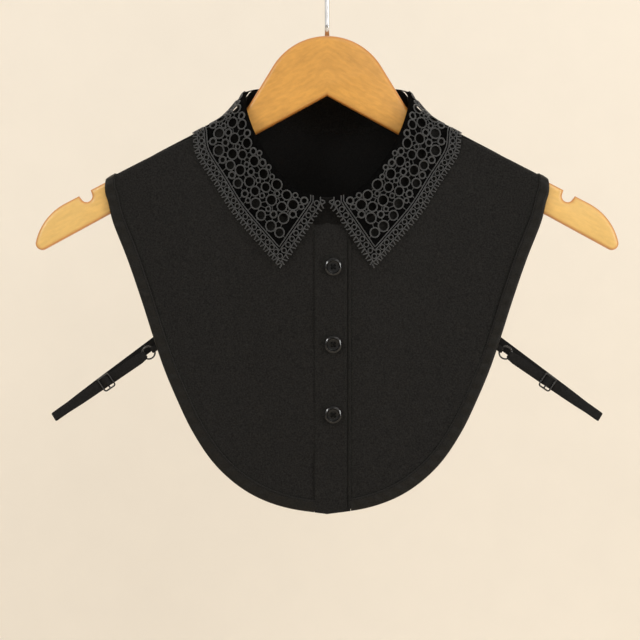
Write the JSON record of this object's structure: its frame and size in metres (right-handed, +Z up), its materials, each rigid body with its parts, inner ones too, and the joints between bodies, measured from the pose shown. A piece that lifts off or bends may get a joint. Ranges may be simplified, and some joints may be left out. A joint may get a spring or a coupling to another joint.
{
  "type": "lace collar on a clothes hanger",
  "caption": "Detachable black bib collar with a pointed ring-lace collar, button placket and elastic side straps, hanging on a flat wooden hanger with a wire hook.",
  "frame": {"origin": "inner top of the hanger's hook, where a rail carries it, in the middle of the wire", "axes": "+X to the right as seen from the front, along the hanger; +Y from the front to the back; +Z up; the collar's front faces -Y"},
  "size_m": [0.4448, 0.0698, 0.4379],
  "materials": {
    "wood": "clear satin lacquer over pale yellow-brown wood",
    "chrome": "bright chrome plate",
    "panel_cloth": "matt black plain-weave cloth",
    "binding": "black bias binding with a soft satin sheen",
    "lace": "black embroidered ring lace with corded edges",
    "elastic": "black satin-faced strap elastic",
    "black_metal": "glossy black coated metal",
    "button": "polished black plastic"
  },
  "bodies": {
    "root": {"hanger_wood": "wood", "hanger_hook": "chrome", "front_left": "panel_cloth", "front_right": "panel_cloth", "back_panel": "panel_cloth", "placket": "panel_cloth", "collar_stand": "panel_cloth", "binding_left": "binding", "binding_right": "binding", "binding_back": "binding", "lace_left": "lace", "lace_right": "lace", "button_1": "button", "button_2": "button", "button_3": "button", "strap_left": "elastic", "strap_right": "elastic", "strap_tab_left": "elastic", "strap_tab_right": "elastic", "strap_ring_left": "black_metal", "strap_ring_right": "black_metal", "strap_slider_left": "black_metal", "strap_slider_right": "black_metal"}
  },
  "joints": []
}
